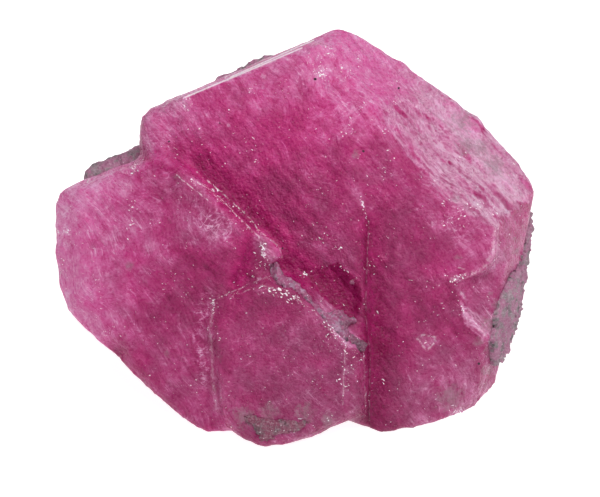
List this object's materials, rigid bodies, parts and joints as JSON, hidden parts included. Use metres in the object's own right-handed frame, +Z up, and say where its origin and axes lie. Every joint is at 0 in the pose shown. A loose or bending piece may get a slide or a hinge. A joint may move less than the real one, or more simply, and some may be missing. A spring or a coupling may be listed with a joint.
{
  "type": "sapphire crystal cluster on matrix",
  "caption": "Cluster of intergrown pink sapphire crystals with patches of grey host rock, resting on a flat break as a mineral specimen.",
  "frame": {"origin": "on the floor, under the middle of the cluster's bounding box", "axes": "+Z up from the flat break it rests on, +X to the right of someone facing the broad crystal faces, which lean back and look towards -Y and up"},
  "size_m": [0.0421, 0.0348, 0.0264],
  "materials": {
    "sapphire": "turbid pink crystal, translucent, glossy with a finely ridged and worn skin",
    "rock": "matt grey host rock, fine-grained and crumbly"
  },
  "bodies": {
    "root": {"sapphire_crystals": "sapphire", "matrix_back": "rock", "matrix_flank": "rock", "matrix_seam": "rock", "matrix_foot": "rock"}
  },
  "joints": []
}
